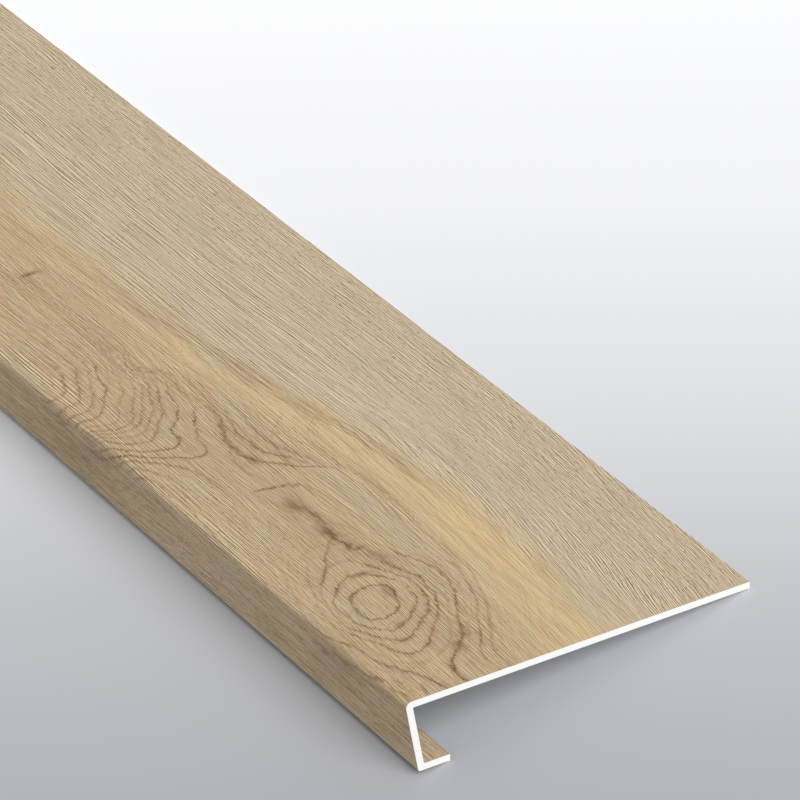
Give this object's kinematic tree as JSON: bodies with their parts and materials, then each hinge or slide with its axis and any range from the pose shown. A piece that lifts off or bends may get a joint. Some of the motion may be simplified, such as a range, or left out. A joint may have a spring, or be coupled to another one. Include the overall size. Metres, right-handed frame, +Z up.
{
  "type": "stair tread",
  "caption": "Full-width stair tread cover with a raked nose and a short return lip, one folded rigid vinyl board with an oak face and a white core.",
  "frame": {"origin": "middle of the part's box, on the floor it rests on, tread up, on its lip's free edge and the foot of its back edge", "axes": "+X along the nose towards the right end seen from the nose, +Y from the nose to the back edge, +Z up; the tread's face falls 12.2 degrees towards +Y"},
  "size_m": [1.2, 0.295, 0.0676],
  "materials": {
    "oak_faced_vinyl": "matte"
  },
  "bodies": {
    "root": {"stair_tread": "oak_faced_vinyl"}
  },
  "joints": []
}
